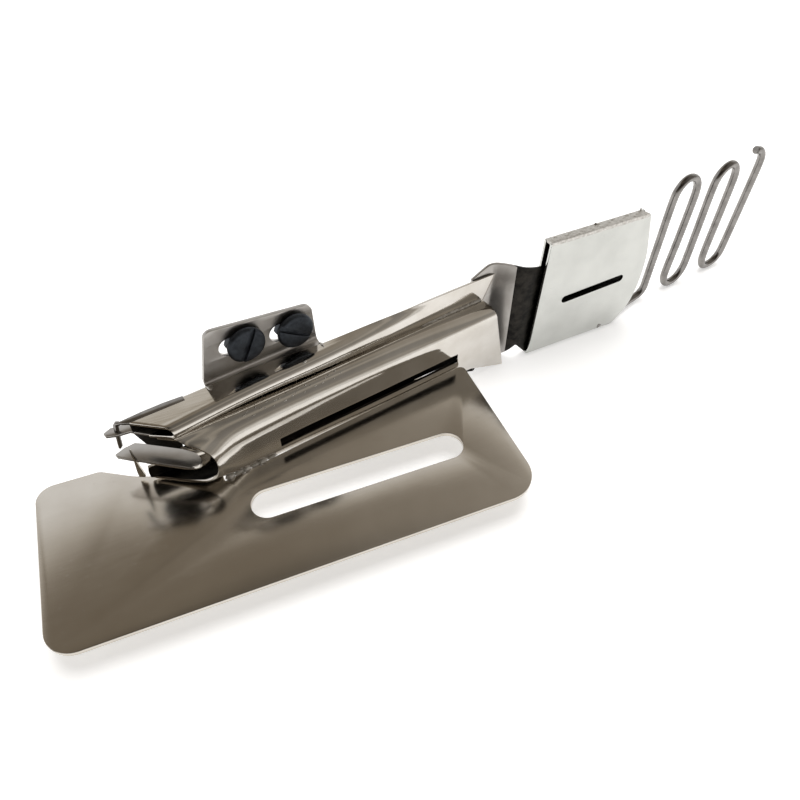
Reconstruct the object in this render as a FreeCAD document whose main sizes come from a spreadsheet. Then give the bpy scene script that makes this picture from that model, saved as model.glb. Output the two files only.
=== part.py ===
import FreeCAD, Part
import math
import os
import Sketcher

Vector = FreeCAD.Vector
Rotation = FreeCAD.Rotation
Placement = FreeCAD.Placement

# Right angle binder: a slotted base plate carries a folded sheet scroll, which turns a flat
# tape through a right angle and folds both of its edges, a tape sleeve and a tension wire.
# Frame: X along the plate's slot, Y to the back, Z up, origin under the slot's centre on the
# surface that the binder stands on.
doc = FreeCAD.newDocument("right_angle_binder")
sheet = doc.addObject("Spreadsheet::Sheet", "Sizes")

sizes = {
    # base plate
    "plate_thick": 0.8, "plate_lift": 4.1, "plate_left": 44.5, "plate_right": 23.7,
    "plate_front": 12.4, "plate_back": 14.7, "plate_step": 35.5,
    "corner_front_left": 4.0, "corner_back_left": 2.6, "corner_front_right": 5.0,
    "corner_back_right": 1.2, "slot_length": 32.7, "slot_width": 5.0,
    # scroll: where its front face meets the plate, which way it runs, how its ends are cut
    "scroll_x": -18.74, "scroll_y": 6.22, "scroll_azimuth": 11.78, "scroll_length": 52.7,
    "end_lean": 12.6, "wall_flare": 26.0, "mouth_azimuth": 136.7,
    "mouth_start": -1.68, "mouth_depth": -0.38,
    "sheet_thick": 0.45, "seat_clearance": 0.12,
    "lower_reach": 9.4, "lower_level": 5.5, "nose_bulge": 1.5, "mouth_top": 14.1,
    "face_height": 13.0, "ridge_radius": 2.0,
    "slit_start": 9.4, "slit_margin": 10.5, "slit_end": "=scroll_length - slit_margin",
    "slit_level": 6.35, "slit_height": 1.35,
    # inner scroll, which the tape's lower edge folds round
    "inner_level": 8.4, "inner_reach": 9.5, "inner_margin": 22.7, "inner_front": 0.9,
    # upper edge folder with the scroll's back wall
    "channel_level": 16.75, "channel_height": 1.35, "cover_reach": 10.5,
    "wall_top": 17.6, "wall_depth": 4.4,
    # edge guard on the cover, and the tooth on the lower sheet
    "guard_thick": 0.5, "guard_length": 8.6, "guard_drop": 5.1, "tooth_height": 4.9,
    # adjusting bracket with its screws and nuts
    "bracket_start": 2.6, "bracket_end": 20.4, "bracket_lean": 1.7, "bracket_depth": 7.2,
    "bracket_thick": 0.6, "bracket_seat": "=channel_level + seat_clearance",
    "bracket_top": 25.8, "bracket_drop": 2.2,
    "foot_depth": 3.6, "foot_chamfer": 0.8, "corner_tab": 0.9, "bend_radius": 0.45,
    "screw_start": 9.4, "screw_pitch": 7.5, "screw_level": 21.9, "screw_drop": 1.1,
    "head_diameter": 5.6, "head_height": 0.9, "shank_diameter": 2.4, "shank_spare": 0.4,
    "hole_length": 5.4, "hole_width": 3.0, "hole_offset": 0.2, "nut_flats": 4.6, "nut_height": 1.0,
    "driver_width": 0.8, "driver_depth": 0.5,
    # tape sleeve with its neck
    "sleeve_x": 38.01, "sleeve_y": 17.06, "sleeve_azimuth": 4.1, "sleeve_height": 23.5,
    "sleeve_depth": 2.0, "sleeve_width": 20.6, "sleeve_bulge": 2.8, "bulge_level": 11.6,
    "foot_width": 18.3, "window_start": 5.3, "window_length": 13.0, "window_level": 11.0,
    "window_width": 1.0, "window_rise": 3.4, "seam_height": 0.8,
    "neck_reach": 4.9, "neck_top": 19.9, "neck_level": 3.0,
    # tension wire
    "wire_thick": 1.4, "wire_x": 74.23, "wire_y": 24.79, "wire_azimuth": 10.24,
    "wire_height": 25.6, "wire_first": 7.0, "gap_one": 5.7, "gap_two": 5.1,
    "gap_three": 5.6, "gap_four": 6.1, "wire_tail": 7.0, "hook_length": 2.6,
    # solder
    "bead_radius": 0.95, "bead_pitch": 2.6, "valley_margin": 4.2, "valley_length": 11.0,
    "valley_radius": 0.5, "wire_seam": 5.0,
}
for row, (name, value) in enumerate(sizes.items(), start=1):
    sheet.set("A%d" % row, name)
    sheet.set("B%d" % row, str(value))
    sheet.setAlias("B%d" % row, name)
doc.recompute()


def size(name):
    return float(getattr(sheet, name))


def bind(thing, **links):
    """Tie properties to the sheet; a double underscore in a name stands for a dot."""
    for prop, formula in links.items():
        thing.setExpression(prop.replace("__", "."), formula)


def bindPlace(thing, prefix):
    """Put a thing in the scroll's or the sleeve's frame."""
    thing.Placement = Placement(Vector(0, 0, 0), Rotation(Vector(0, 0, 1), 1))
    bind(thing, Placement__Base__x="Sizes.%s_x" % prefix,
         Placement__Base__y="Sizes.%s_y" % prefix,
         Placement__Rotation__Angle="Sizes.%s_azimuth" % prefix)


def framePlace(prefix):
    return Placement(Vector(size(prefix + "_x"), size(prefix + "_y"), 0),
                     Rotation(Vector(0, 0, 1), size(prefix + "_azimuth")))


scrollPlace = framePlace("scroll")
sleevePlace = framePlace("sleeve")
wirePlace = framePlace("wire")
plateTop = size("plate_lift") + size("plate_thick")
wall = size("sheet_thick")
gap = size("seat_clearance")


def feature(label, shape, place=None):
    """A named sub-part whose shape is worked out from the sheet's sizes."""
    thing = doc.addObject("Part::Feature", label)
    thing.Label = label
    thing.Shape = shape
    if place is not None:
        thing.Placement = place
    return thing


def sidePoints(points, thick):
    """The other side of a bent sheet: each point moved square to it by the thickness."""
    other = []
    for number, (across, level) in enumerate(points):
        before = points[max(number - 1, 0)]
        after = points[min(number + 1, len(points) - 1)]
        directions = []
        for start, end in ((before, (across, level)), ((across, level), after)):
            run = math.hypot(end[0] - start[0], end[1] - start[1])
            if run > 0:
                directions.append(((end[0] - start[0]) / run, (end[1] - start[1]) / run))
        sumX = sum(step[0] for step in directions)
        sumZ = sum(step[1] for step in directions)
        length = math.hypot(sumX, sumZ)
        unit = (sumX / length, sumZ / length)
        turn = unit[0] * directions[0][0] + unit[1] * directions[0][1]
        other.append((across - unit[1] * thick / turn, level + unit[0] * thick / turn))
    return other


def mouthSeat(across, level):
    """The mouth's plane is upright and slants across the scroll."""
    angle = math.radians(size("mouth_azimuth"))
    return Vector(size("mouth_start") + across * math.cos(angle),
                  size("mouth_depth") + across * math.sin(angle), level)


def squareSeat(along, lean=0.0, pivot=0.0):
    """A section across the scroll, cut at a lean from the upright."""
    slope = math.tan(math.radians(lean))
    return lambda across, level: Vector(along + (level - pivot) * slope, across, level)


def bentSheet(sections, thick):
    """A folded sheet ruled between sections, each a list of points and its seat in space."""
    wires = []
    for points, seat in sections:
        ring = points + sidePoints(points, thick)[::-1]
        corners = [seat(across, level) for across, level in ring]
        wires.append(Part.makePolygon(corners + corners[:1]))
    return Part.makeLoft(wires, True, True)


def prism(corners, pull):
    """A flat plate: its outline in space, pulled along a vector."""
    return Part.Face(Part.makePolygon(corners + corners[:1])).extrude(pull)


def arcPoints(centre, radius, first, last, count):
    """Points along a round bend in a section."""
    points = []
    for number in range(count):
        angle = math.radians(first + (last - first) * number / (count - 1))
        points.append((centre[0] + radius * math.cos(angle),
                       centre[1] + radius * math.sin(angle)))
    return points


def originPlane(body, role):
    return [part for part in body.Origin.OriginFeatures if part.Role == role][0]


def attachedSketch(body, label, role):
    sketch = body.newObject("Sketcher::SketchObject", label)
    sketch.AttachmentSupport = [(originPlane(body, role), "")]
    sketch.MapMode = "FlatFace"
    return sketch


def addOutline(sketch, corners):
    """A closed outline of straight lines; each corner is a pair of formulas."""
    first = sketch.GeometryCount
    count = len(corners)
    values = [(doc.Sizes.evalExpression(across), doc.Sizes.evalExpression(along))
              for across, along in corners]
    spots = [Vector(float(across), float(along), 0) for across, along in values]
    for number in range(count):
        sketch.addGeometry(Part.LineSegment(spots[number], spots[(number + 1) % count]))
    for number in range(count):
        following = first + (number + 1) % count
        sketch.addConstraint(Sketcher.Constraint("Coincident", first + number, 2, following, 1))
    for number, (across, along) in enumerate(corners):
        for kind, formula, spot in (("DistanceX", across, spots[number].x),
                                    ("DistanceY", along, spots[number].y)):
            mark = sketch.addConstraint(
                Sketcher.Constraint(kind, -1, 1, first + number, 1, spot))
            sketch.setExpression("Constraints[%d]" % mark, formula)


def addSlot(sketch, centre, length, width):
    """A slot with round ends; centre is a pair of formulas."""
    first = sketch.GeometryCount
    x = float(doc.Sizes.evalExpression(centre[0]))
    y = float(doc.Sizes.evalExpression(centre[1]))
    half = (size(length) - size(width)) / 2
    radius = size(width) / 2
    up = Vector(0, 0, 1)
    left = Part.Circle(Vector(x - half, y, 0), up, radius)
    right = Part.Circle(Vector(x + half, y, 0), up, radius)
    sketch.addGeometry(Part.ArcOfCircle(left, math.pi / 2, 3 * math.pi / 2))
    sketch.addGeometry(Part.LineSegment(Vector(x - half, y - radius, 0),
                                        Vector(x + half, y - radius, 0)))
    sketch.addGeometry(Part.ArcOfCircle(right, -math.pi / 2, math.pi / 2))
    sketch.addGeometry(Part.LineSegment(Vector(x + half, y + radius, 0),
                                        Vector(x - half, y + radius, 0)))
    for start, startEnd, end, endEnd in ((0, 2, 1, 1), (1, 2, 2, 1), (2, 2, 3, 1), (3, 2, 0, 1)):
        sketch.addConstraint(Sketcher.Constraint("Tangent", first + start, startEnd,
                                                 first + end, endEnd))
    marks = [("Radius", (first, radius), "Sizes.%s / 2" % width),
             ("DistanceX", (-1, 1, first, 3, x - half),
              "%s - (Sizes.%s - Sizes.%s) / 2" % (centre[0], length, width)),
             ("DistanceY", (-1, 1, first, 3, y), centre[1]),
             ("DistanceX", (-1, 1, first + 2, 3, x + half),
              "%s + (Sizes.%s - Sizes.%s) / 2" % (centre[0], length, width)),
             ("DistanceY", (-1, 1, first + 2, 3, y), centre[1])]
    for kind, values, formula in marks:
        mark = sketch.addConstraint(Sketcher.Constraint(kind, *values))
        sketch.setExpression("Constraints[%d]" % mark, formula)


def roundEdge(body, label, direction, spot, radiusName):
    """Round the straight edge that runs along a direction nearest to a spot."""
    doc.recompute()
    base = body.Tip
    best = None
    for number, edge in enumerate(base.Shape.Edges, start=1):
        ends = [vertex.Point for vertex in edge.Vertexes]
        if len(ends) < 2 or (ends[1] - ends[0]).cross(direction).Length > 0.01:
            continue
        off = (edge.CenterOfMass - spot).cross(direction).Length
        if best is None or off < best[0]:
            best = (off, number)
    fillet = body.newObject("PartDesign::Fillet", label)
    fillet.Base = (base, ["Edge%d" % best[1]])
    bind(fillet, Radius="Sizes.%s" % radiusName)
    doc.recompute()
    return fillet


def basePlate():
    """Flat plate with one long adjusting slot, stepped back where the mouth overhangs it."""
    body = doc.addObject("PartDesign::Body", "base_plate")
    body.Label = "base_plate"
    sketch = attachedSketch(body, "plate_outline", "XY_Plane")
    bind(sketch, AttachmentOffset__Base__z="Sizes.plate_lift")
    startX = "(Sizes.scroll_x + Sizes.seat_clearance * sin(Sizes.scroll_azimuth * 1deg))"
    startY = "(Sizes.scroll_y - Sizes.seat_clearance * cos(Sizes.scroll_azimuth * 1deg))"
    rearY = "(%s + (Sizes.plate_right - %s) * tan(Sizes.scroll_azimuth * 1deg))" % (startY, startX)
    noseX = "(Sizes.scroll_x + Sizes.mouth_start)"
    noseY = "(Sizes.scroll_y + 2 * Sizes.mouth_depth - Sizes.seat_clearance)"
    addOutline(sketch, [("-Sizes.plate_left", "-Sizes.plate_front"),
                        ("Sizes.plate_right", "-Sizes.plate_front"),
                        ("Sizes.plate_right", rearY), (startX, startY), (noseX, noseY),
                        ("-Sizes.plate_step", "Sizes.plate_back"),
                        ("-Sizes.plate_left", "Sizes.plate_back")])
    addSlot(sketch, ("0", "0"), "slot_length", "slot_width")
    pad = body.newObject("PartDesign::Pad", "plate_pad")
    pad.Profile = sketch
    bind(pad, Length="Sizes.plate_thick")
    up = Vector(0, 0, 1)
    rear = float(doc.Sizes.evalExpression(rearY))
    for label, x, y, radius in (
            ("front_left", -size("plate_left"), -size("plate_front"), "corner_front_left"),
            ("front_right", size("plate_right"), -size("plate_front"), "corner_front_right"),
            ("back_left", -size("plate_left"), size("plate_back"), "corner_back_left"),
            ("back_right", size("plate_right"), rear, "corner_back_right")):
        roundEdge(body, "round_" + label, up, Vector(x, y, 0), radius)
    return body


def outerShell():
    """Outer scroll: a lower sheet at the mouth that turns into the upright front face."""
    bulge = -size("nose_bulge")
    low = size("lower_level")
    top = size("mouth_top")
    middle = (low + top) / 2
    mouth = [(size("lower_reach"), low), (2.5, low + 0.2), (0.2, low + 0.7),
             (bulge + 0.5, low + 1.7), (bulge, middle - 0.9), (bulge + 0.2, middle + 1.2),
             (bulge + 1.1, top - 1.5), (0.8, top - 0.7), (1.6, top - 0.35), (2.4, top),
             (3.0, top + 0.3), (3.4, top + 0.7)]
    face = size("face_height")
    radius = size("ridge_radius")
    end = [(0, face * share) for share in (0, 0.2, 0.4, 0.6, 0.8)]
    end += arcPoints((radius, face), radius, 180, 0, 7)
    tail = squareSeat(size("scroll_length"), -size("end_lean"))
    shape = bentSheet([(mouth, mouthSeat), (end, tail)], -wall)
    slit = Part.makeBox(size("slit_end") - size("slit_start"), 3 * radius, size("slit_height"),
                        Vector(size("slit_start"), -2 * radius - size("nose_bulge") + 0.9,
                               size("slit_level")))
    return feature("outer_shell", shape.cut(slit), scrollPlace)


def innerScroll():
    """Inner scroll with its pointed blade: the tape's lower edge folds round it."""
    low = size("inner_level")
    front = size("inner_front")
    face = size("face_height")
    mouth = [(size("inner_reach"), low), (5.0, low), (2.2, low + 0.1), (0.95, low + 0.8),
             (0.6, low + 1.9), (0.8, low + 3.1), (1.8, low + 4.2), (3.0, low + 4.9)]
    inside = [(front + 2.0, face / 2), (front + 1.5, face / 2 - 0.9), (front + 1.0, face / 2 - 1.3),
              (front + 0.5, face / 2 - 1.2), (front + 0.15, face / 2 - 0.5), (front, face - 4.5),
              (front, face - 1.5), (front + 0.5, face - 0.4)]
    end = squareSeat(size("scroll_length") - size("inner_margin"))
    shape = bentSheet([(mouth, mouthSeat), (inside, end)], -wall)
    root = mouthSeat(5.0, low)
    edge = mouthSeat(size("inner_reach"), low)
    blade = [root, mouthSeat(size("inner_reach") + 1.8, low), edge + Vector(-3.2, 3.7, 0),
             edge + Vector(-1.8, 4.2, 0), edge + Vector(0, 4.3, 0), root + Vector(1.3, 4.0, 0)]
    return feature("inner_scroll", shape.fuse(prism(blade, Vector(0, 0, wall))), scrollPlace)


def channelSections():
    """Sections of the upper edge folder: flat at the mouth, upright at the sleeve's end."""
    level = size("channel_level")
    height = size("channel_height")
    mouth = [(size("cover_reach"), level), (8.0, level), (4.4, level), (3.85, level - 0.2),
             (3.6, level - height / 2), (3.85, level - height + 0.2), (4.5, level - height),
             (7.5, level - height - 0.35)]
    seat = level
    middle = [(6.4, seat), (5.4, seat), (3.6, seat), (3.05, seat - 0.25), (2.85, seat - 0.8),
              (3.1, seat - 1.35), (3.8, seat - 1.6), (5.2, seat - 1.6)]
    depth = size("wall_depth")
    top = size("wall_top")
    low = size("face_height") - 1.2
    end = [(depth, low + (top - low) * share) for share in (1, 0.75, 0.5, 0.4, 0.3, 0.2, 0.1, 0)]
    tail = squareSeat(size("scroll_length") - 2.7, size("wall_flare"), size("face_height"))
    return [(mouth, mouthSeat), (middle, squareSeat(size("bracket_end"))), (end, tail)]


def upperChannel():
    """Upper edge folder: cover, narrow fold, pointed lower layer and the scroll's back wall."""
    shape = bentSheet(channelSections(), wall)
    level = size("channel_level") - size("channel_height") - 0.35
    root = mouthSeat(6.4, level)
    edge = mouthSeat(7.6, level)
    blade = [root, edge, edge + Vector(-2.1, 2.0, 0), edge + Vector(-4.4, 2.8, 0),
             edge + Vector(-4.2, 3.7, 0), edge + Vector(-3.0, 4.0, 0), edge + Vector(-0.2, 3.2, 0),
             root + Vector(1.6, 1.9, 0)]
    return feature("upper_edge_folder", shape.fuse(prism(blade, Vector(0, 0, wall))), scrollPlace)


def shapeIn(place, thing):
    """A sub-part's shape as it is seen from a frame."""
    shape = thing.Shape.copy()
    shape.Placement = place.inverse().multiply(shape.Placement)
    return shape


def largest(shape):
    return max(shape.Solids, key=lambda solid: solid.Volume)


def edgeGuard(folder):
    """Narrow guard strip on the cover's back rim, with a tooth bent down at the mouth."""
    thick = size("guard_thick")
    rim = mouthSeat(size("cover_reach"), size("channel_level"))
    length = size("guard_length")
    strip = [rim + Vector(-0.9, 0.35, 0), rim + Vector(0.1, -0.6, 0),
             rim + Vector(length, -0.9, 0), rim + Vector(length, 0.0, 0)]
    outward = Vector(-0.83, 0.55, 0).normalize()
    tooth = [strip[0] + outward * across + Vector(0, 0, level)
             for across, level in ((-0.7, 0), (-0.7, thick), (0.9, thick),
                                   (0.8, -size("guard_drop")), (0.45, -size("guard_drop") + 1.4))]
    side = Vector(outward.y, -outward.x, 0)
    shape = prism(strip, Vector(0, 0, thick)).fuse(prism(tooth, side * thick))
    return feature("edge_guard", shape.cut(shapeIn(scrollPlace, folder)), scrollPlace)


def lowerTooth(shell):
    """Pointed tooth that stands on the end of the scroll's lower sheet."""
    foot = mouthSeat(size("lower_reach"), size("lower_level"))
    height = size("tooth_height")
    outward = mouthSeat(1, 0) - mouthSeat(0, 0)
    front = Vector(-outward.y, outward.x, 0) * wall
    outline = [foot + front + outward * across + Vector(0, 0, level)
               for across, level in ((-0.5, 0), (1.9, 0), (1.8, height * 0.6), (1.5, height),
                                     (0.8, height * 0.4), (-0.5, height * 0.15))]
    shape = prism(outline, -front)
    return feature("lower_tooth", shape.cut(shapeIn(scrollPlace, shell)), scrollPlace)


def bracket():
    """Upright tab with two slotted holes, on a foot that is soldered to the scroll's cover."""
    body = doc.addObject("PartDesign::Body", "adjusting_bracket")
    body.Label = "adjusting_bracket"
    bindPlace(body, "scroll")
    tab = attachedSketch(body, "tab_outline", "XZ_Plane")
    bind(tab, AttachmentOffset__Base__z="-Sizes.bracket_depth")
    addOutline(tab, [("Sizes.bracket_start", "Sizes.bracket_seat"),
                     ("Sizes.bracket_end", "Sizes.bracket_seat"),
                     ("Sizes.bracket_end", "Sizes.bracket_top - Sizes.bracket_drop"),
                     ("Sizes.bracket_start + Sizes.bracket_lean", "Sizes.bracket_top")])
    for number in range(2):
        addSlot(tab, ("(Sizes.screw_start + %d * Sizes.screw_pitch - Sizes.hole_length / 2 "
                      "+ Sizes.hole_width / 2 + Sizes.hole_offset)" % number,
                      "(Sizes.screw_level - %d * Sizes.screw_drop)" % number),
                "hole_length", "hole_width")
    tabPad = body.newObject("PartDesign::Pad", "tab_pad")
    tabPad.Profile = tab
    bind(tabPad, Length="Sizes.bracket_thick")
    foot = attachedSketch(body, "foot_outline", "XY_Plane")
    bind(foot, AttachmentOffset__Base__z="Sizes.bracket_seat")
    front = "Sizes.bracket_depth - Sizes.foot_depth"
    addOutline(foot, [("Sizes.bracket_start + Sizes.foot_chamfer", front),
                      ("Sizes.bracket_end", front),
                      ("Sizes.bracket_end", "Sizes.bracket_depth"),
                      ("Sizes.bracket_start", "Sizes.bracket_depth"),
                      ("Sizes.bracket_start", front + " + Sizes.foot_chamfer")])
    footPad = body.newObject("PartDesign::Pad", "foot_pad")
    footPad.Profile = foot
    bind(footPad, Length="Sizes.bracket_thick")
    across = Vector(0, 1, 0)
    for label, along, level in (
            ("left", size("bracket_start") + size("bracket_lean"), size("bracket_top")),
            ("right", size("bracket_end"), size("bracket_top") - size("bracket_drop"))):
        roundEdge(body, "tab_" + label, across, Vector(along, 0, level), "corner_tab")
    roundEdge(body, "bend_outside", Vector(1, 0, 0),
              Vector(0, size("bracket_depth"), size("bracket_seat")), "bend_radius")
    return body


def screw(label, number, driverAngle):
    """Slotted cheese-head screw through the bracket's hole, its head to the front."""
    along = "Sizes.screw_start + %d * Sizes.screw_pitch" % number
    level = "Sizes.screw_level - %d * Sizes.screw_drop" % number
    front = "Sizes.bracket_depth - Sizes.bracket_thick"
    head = doc.addObject("Part::Cylinder", label + "_head")
    head.Placement = Placement(Vector(0, 0, 0), Rotation(Vector(1, 0, 0), 90))
    bind(head, Radius="Sizes.head_diameter / 2", Height="Sizes.head_height",
         Placement__Base__x=along, Placement__Base__y=front, Placement__Base__z=level)
    shank = doc.addObject("Part::Cylinder", label + "_shank")
    shank.Placement = Placement(Vector(0, 0, 0), Rotation(Vector(1, 0, 0), -90))
    bind(shank, Radius="Sizes.shank_diameter / 2",
         Height="Sizes.bracket_thick + Sizes.nut_height + Sizes.shank_spare",
         Placement__Base__x=along, Placement__Base__y=front, Placement__Base__z=level)
    both = doc.addObject("Part::Fuse", label + "_blank")
    both.Base = head
    both.Tool = shank
    driver = doc.addObject("Part::Box", label + "_driver_slot")
    turn = Rotation(Vector(0, 1, 0), driverAngle)
    driver.Placement = Placement(Vector(0, 0, 0), turn)
    reach = size("head_diameter")
    start = turn.multVec(Vector(-reach, 0, -size("driver_width") / 2))
    bind(driver, Length="2 * Sizes.head_diameter", Width="2 * Sizes.driver_depth",
         Height="Sizes.driver_width",
         Placement__Base__x="%s + (%.6f)" % (along, start.x),
         Placement__Base__y="%s - Sizes.head_height - Sizes.driver_depth" % front,
         Placement__Base__z="%s + (%.6f)" % (level, start.z))
    whole = doc.addObject("Part::Cut", label)
    whole.Label = label
    whole.Base = both
    whole.Tool = driver
    bindPlace(whole, "scroll")
    return whole


def nut(label, number):
    """Hexagon nut behind the bracket's tab."""
    along = "Sizes.screw_start + %d * Sizes.screw_pitch" % number
    level = "Sizes.screw_level - %d * Sizes.screw_drop" % number
    blank = doc.addObject("Part::Prism", label + "_blank")
    blank.Polygon = 6
    blank.Placement = Placement(Vector(0, 0, 0), Rotation(Vector(1, 0, 0), -90))
    bind(blank, Circumradius="Sizes.nut_flats / 2 / cos(30deg)", Height="Sizes.nut_height",
         Placement__Base__x=along, Placement__Base__y="Sizes.bracket_depth",
         Placement__Base__z=level)
    bore = doc.addObject("Part::Cylinder", label + "_bore")
    bore.Placement = Placement(Vector(0, 0, 0), Rotation(Vector(1, 0, 0), -90))
    bind(bore, Radius="Sizes.shank_diameter / 2", Height="Sizes.nut_height",
         Placement__Base__x=along, Placement__Base__y="Sizes.bracket_depth",
         Placement__Base__z=level)
    whole = doc.addObject("Part::Cut", label)
    whole.Label = label
    whole.Base = blank
    whole.Tool = bore
    bindPlace(whole, "scroll")
    return whole


def tapeSleeve(folder):
    """One folded sheet: front face with a sight slot, bottom fold, back wall and neck."""
    depth = size("sleeve_depth")
    height = size("sleeve_height")
    width = size("sleeve_width")
    back = Vector(0, 1, 0)
    slant = size("sleeve_width") - size("foot_width")
    outline = [(0, 0), (size("foot_width"), 0), (size("foot_width") + 1.45 * slant, 4.3),
               (width + 0.65 * size("sleeve_bulge"), 6.1),
               (width + size("sleeve_bulge"), size("bulge_level")), (width, height), (0.9, height)]
    front = prism([Vector(x, 0, z) for x, z in outline], back * wall)
    rise = math.atan2(size("window_rise") * 0.2, size("window_length"))
    window = Part.makeBox(size("window_length"), 4 * wall, size("window_width"),
                          Vector(0, -wall, -size("window_width") / 2))
    window.rotate(Vector(0, 0, 0), Vector(0, -1, 0), math.degrees(rise))
    window.translate(Vector(size("window_start"), 0, size("window_level")))
    front = front.cut(window)
    floor = Part.makeBox(size("foot_width"), depth, wall)
    joint = size("wall_depth") + wall + gap
    turn = sleevePlace.inverse().multiply(scrollPlace)
    last = turn.multVec(Vector(size("scroll_length") - size("neck_reach"), joint + 1.5 * gap, 0))
    bend = turn.multVec(Vector(size("scroll_length") - 1.4, joint, 0))
    inner = depth - wall
    plan = [(width, inner), (0, inner), (bend.x * 0.4, inner + (bend.y - inner) * 0.35),
            (bend.x, bend.y), (last.x, last.y)]
    ring = plan + sidePoints(plan, -wall)[::-1]
    strip = prism([Vector(x, y, 0) for x, y in ring], Vector(0, 0, height))
    top = size("neck_top")
    side = [(last.x - 1, size("wall_top") - 0.3), (bend.x, top), (0.3, top - 1.2),
            (0.9, height), (width, height), (width, 0), (0, 0), (bend.x * 0.3, size("neck_level")),
            (bend.x * 0.7, 0), (last.x - 1, 0)]
    mask = prism([Vector(x, -1, z) for x, z in side], back * (last.y + 9))
    shape = front.fuse([floor, strip.common(mask)]).removeSplitter()
    return feature("tape_sleeve", largest(shape.cut(shapeIn(sleevePlace, folder))), sleevePlace)


def sleeveSeam():
    """Solder run that closes the sleeve along its top."""
    height = size("sleeve_height")
    inside = size("sleeve_depth") - 2 * wall
    shape = Part.makeBox(size("sleeve_width") - 1.2, inside, size("seam_height"),
                         Vector(1.2, wall, height - size("seam_height")))
    return feature("sleeve_seam", shape, sleevePlace)


def wirePath():
    """Centre line of the wire: a tail behind the sleeve, then five upright runs and a hook."""
    low = size("wire_thick") / 2
    high = size("wire_height") - low
    runs = [-size("wire_first")]
    for name in ("gap_one", "gap_two", "gap_three", "gap_four"):
        runs.append(runs[-1] + size(name))
    tail = wirePlace.inverse().multVec(sleevePlace.multVec(
        Vector(size("sleeve_width") - size("wire_tail") + 2.0,
               size("sleeve_depth") + low + gap / 4, low + 0.6)))
    bend = 2.0
    edges = [Part.makeLine(tail, Vector(runs[0] - bend, 0, low + 0.6))]
    turn = Vector(runs[0] - bend, 0, low + 0.6 + bend)
    sweep = math.radians(45)
    middle = turn + Vector(bend * math.sin(sweep), 0, -bend * math.cos(sweep))
    edges.append(Part.Arc(edges[-1].Vertexes[1].Point, middle,
                          turn + Vector(bend, 0, 0)).toShape())
    for number in range(4):
        radius = (runs[number + 1] - runs[number]) / 2
        centreX = runs[number] + radius
        rising = number % 2 == 0
        centreZ = high - radius if rising else low + radius
        tip = high if rising else low
        start = edges[-1].Vertexes[1].Point
        edges.append(Part.makeLine(start, Vector(runs[number], 0, centreZ)))
        edges.append(Part.Arc(Vector(runs[number], 0, centreZ), Vector(centreX, 0, tip),
                              Vector(runs[number + 1], 0, centreZ)).toShape())
    hook = size("hook_length")
    last = Vector(runs[4], 0, high - hook)
    edges.append(Part.makeLine(edges[-1].Vertexes[1].Point, last))
    small = hook / 2
    edges.append(Part.Arc(last, last + Vector(-small * (1 - math.cos(sweep)), 0,
                                              small * math.sin(sweep)),
                          last + Vector(-small, 0, small)).toShape())
    edges.append(Part.makeLine(edges[-1].Vertexes[1].Point, last + Vector(-hook, 0, small)))
    return Part.Wire(edges)


def tensionWire():
    """Round wire bent into a zigzag, which the tape is threaded through."""
    path = wirePath()
    start = path.Edges[0].Vertexes[0].Point
    direction = path.Edges[0].tangentAt(path.Edges[0].FirstParameter)
    circle = Part.Wire(Part.makeCircle(size("wire_thick") / 2, start, direction))
    shape = path.makePipeShell([circle], True, False)
    return feature("tension_wire", shape, wirePlace)


def beadRow(label, spots, radius, neighbours, place):
    """Solder beads at spots, trimmed to the sheets that they join."""
    shape = None
    for spot in spots:
        bead = Part.makeSphere(radius, spot)
        shape = bead if shape is None else shape.fuse(bead)
    for neighbour in neighbours:
        shape = shape.cut(shapeIn(place, neighbour))
    solids = sorted(shape.Solids, key=lambda solid: -solid.Volume)
    return feature(label, Part.makeCompound(solids[:len(spots)]), place)


def valleySolder(shell):
    """Solder run in the valley between the front ridge and the back wall."""
    thick = size("valley_radius")
    shape = Part.makeBox(size("valley_length"), thick, thick,
                         Vector(size("scroll_length") - size("valley_margin") - size("valley_length"),
                                size("wall_depth") - 1.6 * thick,
                                size("face_height") + 0.85 * thick))
    return feature("valley_solder", shape.cut(shapeIn(scrollPlace, shell)), scrollPlace)


def wireSolder(wire, sleeve):
    """Solder run that holds the wire's tail to the back of the sleeve."""
    radius = size("wire_thick") / 2
    start = Vector(size("sleeve_width") - size("wire_tail") + 2.4,
                   size("sleeve_depth") + radius * 0.6, radius + 0.6 + radius * 0.8)
    shape = Part.makeCylinder(radius, size("wire_seam") - 1.6, start, Vector(1, 0, 0))
    for neighbour in (wire, sleeve):
        shape = shape.cut(shapeIn(sleevePlace, neighbour))
    return feature("wire_solder", largest(shape), sleevePlace)


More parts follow.
